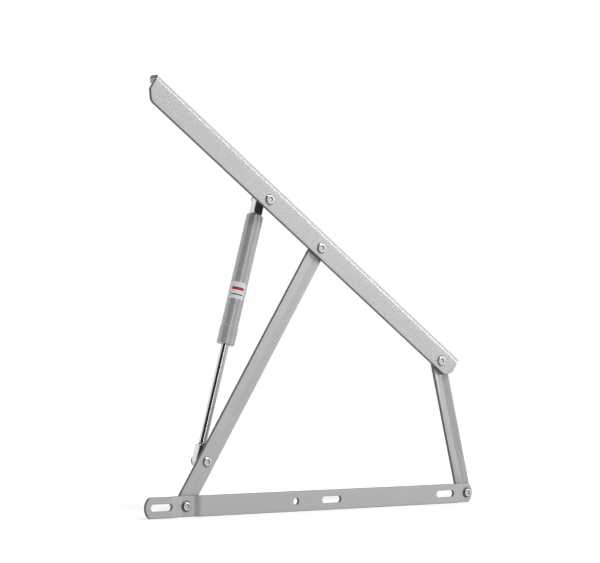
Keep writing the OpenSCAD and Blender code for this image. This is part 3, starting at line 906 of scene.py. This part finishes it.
# Painted shade: the eyes' faces and necks get a near-black finish, and only the plate walls keep
# the zinc
shaded_eye_face = dull_finish(
    "dark_eye_face", eye_face_shade_grey, metallic=0.3, roughness=0.45, peel=0.10, coat=0.0
)
spring_length = np.linalg.norm(spring_top - spring_pin)
spring_flat = (spring_top - spring_pin) / spring_length
spring_way = np.array([spring_flat[0], 0.0, spring_flat[1]])
spring_depth = depth_of["rod_eye"][0] + eye_thick / 2
spring_foot = np.array([spring_pin[0], spring_depth, spring_pin[1]])
spring_head = np.array([spring_top[0], spring_depth, spring_top[1]])


def add_eye(name, pin, way, length, stub_rows, node):
    """An eye plate round its pin, and a round neck that leads on from it along the spring."""
    sideways = np.cross(way, back_way)

    def form(p, q, depth):
        flat = p[:, None] * way + q[:, None] * sideways
        return pin + flat + (depth - eye_thick / 2)[:, None] * back_way

    lean = np.degrees(np.arcsin(eye_half / eye_end))
    top = length - eye_shoulder
    side = eye_half - eye_corner
    rim = np.concatenate([
        arc((0, 0), eye_end, lean, 360 - lean, count=45),
        arc((top - eye_corner, -side), eye_corner, -90, 0, count=6),
        arc((top - eye_corner, side), eye_corner, 0, 90, count=6),
    ])
    hole = hole_outline(0, 0, shank_radius + 2 * hole_play)
    columns = np.array([-eye_grid_reach, 0.0, eye_grid_reach, top - eye_grid_inset])
    rows = np.array([-eye_grid_half, 0.0, eye_grid_half])
    plate, plate_faces = pressed_sheet([rim, hole], eye_thick, eye_edge, columns, rows, form)
    base = top - neck_sunk
    neck_rows = [(base, 0, 0), (base, neck_radius, 0.2), (length, neck_radius, 0.35)] + stub_rows
    neck, neck_faces = turned(eased(neck_rows), pin, way, back_way, turns=48)
    faces = plate_faces + [block + len(plate) for block in neck_faces]
    return add_piece(name, np.concatenate([plate, neck]), faces, node, shaded_eye_face, zinc)


flat_end = [(lower_eye_length, 0, 0)]
add_eye("lower_eye", spring_foot, spring_way, lower_eye_length, flat_end, "rod_eye")
stub_end = upper_eye_length + upper_stub_length
stub_rows = [(upper_eye_length, stub_radius, 0.2), (stub_end, stub_radius, 0.4), (stub_end, 0, 0)]
add_eye("upper_eye", spring_head, -spring_way, upper_eye_length, stub_rows, "cylinder_eye")

# Gas spring
# A chromed steel rod slides in a painted steel cylinder, which carries a thin sleeve over its rod
# end and is closed by a plug above. Piston, ring, nut, guide and seal sit inside it.
rod_radius = 5.0
rod_play = 0.4
tube_radius = 11.0
tube_inner = 9.8
collar_radius = 11.5
collar_length = 23.5
collar_lip = 1.5
collar_slope = 0.6
collar_foot = 0.06
body_length = 170.5
guide_length = 12.0
seal_length = 4.0
piston_gap = 2.0
piston_length = 9.0
nut_length = 3.0
plug_length = 10.0
plug_floor = 2.0
rod_stub_length = 10.0
spring_grey = (0.50, 0.505, 0.515)

body_top = spring_length - upper_eye_length
body_start = body_top - body_length
tube_start = body_start + collar_lip
collar_end = body_start + collar_length
piston_start = tube_start + guide_length + seal_length + piston_gap
rod_end = piston_start + piston_length + nut_length
rod_start = lower_eye_length - rod_stub_length
plug_start = body_top - plug_length


def add_round(name, rows, node, finish):
    """A piece turned round the gas spring's axis. Places are distances from the lower pin."""
    points, faces = turned(eased(rows), spring_foot, spring_way, back_way, turns=96)
    return add_piece(name, points, faces, node, finish)


chrome = bright_metal(
    "polished_chrome", (0.68, 0.68, 0.69), 0.07, grain_scale=4000.0, relief_depth=0.000004
)
spring_paint = dull_finish(
    "spring_paint", spring_grey, metallic=0.28, roughness=0.25, peel=0.02, coat=0.15
)
add_round("chromed_rod", [
    (rod_start, 0, 0), (rod_start, stub_radius, 0.4), (lower_eye_length, stub_radius, 0.1),
    (lower_eye_length, rod_radius, 0.5), (piston_start, rod_radius, 0.5),
    (piston_start, stub_radius, 0.1), (rod_end, stub_radius, 0.4), (rod_end, 0, 0),
], "piston_rod", chrome)
add_round("painted_tube", [
    (tube_start, tube_inner, 0.2), (tube_start, tube_radius, 0.3), (collar_end, tube_radius, 0.0),
    (body_top, tube_radius, 1.1), (body_top, tube_inner, 0.2),
], "cylinder_tube", spring_paint)
add_round("painted_collar", [
    (body_start, rod_radius + rod_play, 0.2), (body_start, collar_radius, 0.8),
    (collar_end - collar_slope, collar_radius, 0.1),
    (collar_end, tube_radius + collar_foot, 0.02), (collar_end, tube_radius + hole_play, 0.01),
    (tube_start, tube_radius + hole_play, 0.1), (tube_start, rod_radius + rod_play, 0.2),
], "cylinder_collar", spring_paint)
add_round("end_plug", [
    (plug_start, 0, 0), (plug_start, tube_inner - hole_play, 0.3),
    (body_top, tube_inner - hole_play, 0.5), (body_top, stub_radius + hole_play, 0.3),
    (plug_start + plug_floor, stub_radius + hole_play, 0.1), (plug_start + plug_floor, 0, 0),
], "cylinder_end_plug", spring_paint)

# The pieces inside the cylinder keep the shape of their solids and get finishes of their own
turned_grain = {"grain_scale": 1500.0, "relief_depth": 0.00004}
brass = bright_metal("turned_brass", (0.72, 0.56, 0.30), 0.25, **turned_grain)
aluminium = bright_metal("turned_aluminium", (0.72, 0.72, 0.74), 0.28, **turned_grain)
rubber = dull_finish(
    "seal_rubber", (0.03, 0.03, 0.03), metallic=0.0, roughness=0.6, peel=0.4, coat=0.0
)
for node, finish in (
    ("piston", aluminium), ("piston_ring", rubber), ("rod_nut", zinc), ("rod_guide", brass),
    ("rod_seal", rubber),
):
    frame["nodes"][node].data.materials.clear()
    frame["nodes"][node].data.materials.append(finish)

# Label
# A plain white film sticks to the tube's left front, printed with a red band and a thin dark one.
label_length = 22.0
label_at = 34.5
label_wrap = np.radians(112.0)
label_turn = np.radians(38.0)
label_lift = 0.02
label_thick = 0.15
label_white = (0.90, 0.90, 0.90)
label_red = (0.50, 0.035, 0.03, 1.0)
label_dark = (0.06, 0.06, 0.065, 1.0)

label_start = collar_end + label_at
spring_side = np.cross(spring_way, back_way)


def film(count_along=40, count_round=64):
    """A thin sheet on the tube: a grid of distances along the spring and turns round it, at the
    outer radius, with a second grid inside it and a narrow wall round both."""
    u, v = np.linspace(0, 1, count_along), np.linspace(0, 1, count_round)
    along, turn = np.meshgrid(label_start + label_length * u, label_wrap * (v - 0.5), indexing="ij")
    around = turn + label_turn
    inner_radius = tube_radius + label_lift
    radius = np.array([inner_radius + label_thick, inner_radius])[:, None, None, None]
    spoke = -np.cos(around)[..., None] * back_way + np.sin(around)[..., None] * spring_side
    points = (spring_foot + along[..., None] * spring_way)[None] + radius * spoke[None]
    cell = np.arange(count_along * count_round).reshape(count_along, count_round)
    face = np.stack([cell[:-1, :-1], cell[1:, :-1], cell[1:, 1:], cell[:-1, 1:]], axis=-1)
    face = face.reshape(-1, 4)
    rim = np.concatenate([cell[0, :-1], cell[:-1, -1], cell[-1, :0:-1], cell[:0:-1, 0]])
    after = np.roll(rim, -1)
    inner = cell.size
    wall = np.stack([rim, rim + inner, after + inner, after], axis=1)
    chart = np.stack(np.meshgrid(u, v, indexing="ij"), axis=-1).reshape(-1, 2)
    faces = [face[:, ::-1], face + inner, wall]
    return points.reshape(-1, 3), faces, np.concatenate([chart, chart])


def printed_film(name, colour, bands):
    """White film with plain printed bands. A band is where the chart's two coordinates lie within
    half a band's height of its middle and within half its width of the film's."""
    finish = mottled(
        name, shades=(tinted(colour, 0.97), tinted(colour, 1.0)), gloss=(0.36, 0.46),
        cloud=(300.0, 2.0), grain=(300.0, 2.0), relief=(0.1, 0.00005), values={},
    )
    tree = finish.node_tree
    base = tree.nodes["Principled BSDF"].inputs["Base Color"]
    shown = base.links[0].from_socket
    chart = add_node(tree, "UVMap", uv_map="chart").outputs["UV"]
    split = add_node(tree, "SeparateXYZ", links={0: chart}).outputs
    for ink, middle_at, half_tall, half_wide in bands:
        near = [(split["X"], middle_at, half_tall), (split["Y"], 0.5, half_wide)]
        tall, wide = [
            add_node(tree, "Math", {1: at, 2: half}, {0: place}, operation="COMPARE").outputs[0]
            for place, at, half in near
        ]
        inside = joined(tree, "MULTIPLY", tall, wide)
        sockets = {"Factor": inside, "A": shown}
        inked = add_node(tree, "Mix", {"B": ink}, sockets, data_type="RGBA")
        shown = inked.outputs["Result"]
    tree.links.new(shown, base)
    return finish


white_film = printed_film("white_film", label_white, [
    (label_red, 0.62, 0.085, 0.38), (label_dark, 0.27, 0.035, 0.38),
])
points, faces, chart = film()
points, faces = facing_out(points, faces)
label = add_piece("tube_label", points, faces, "cylinder_label", white_film)
label.data.uv_layers.new(name="chart")
corner_of = np.empty(len(label.data.loops), int)
label.data.loops.foreach_get("vertex_index", corner_of)
label.data.uv_layers["chart"].data.foreach_set("uv", chart[corner_of].ravel())
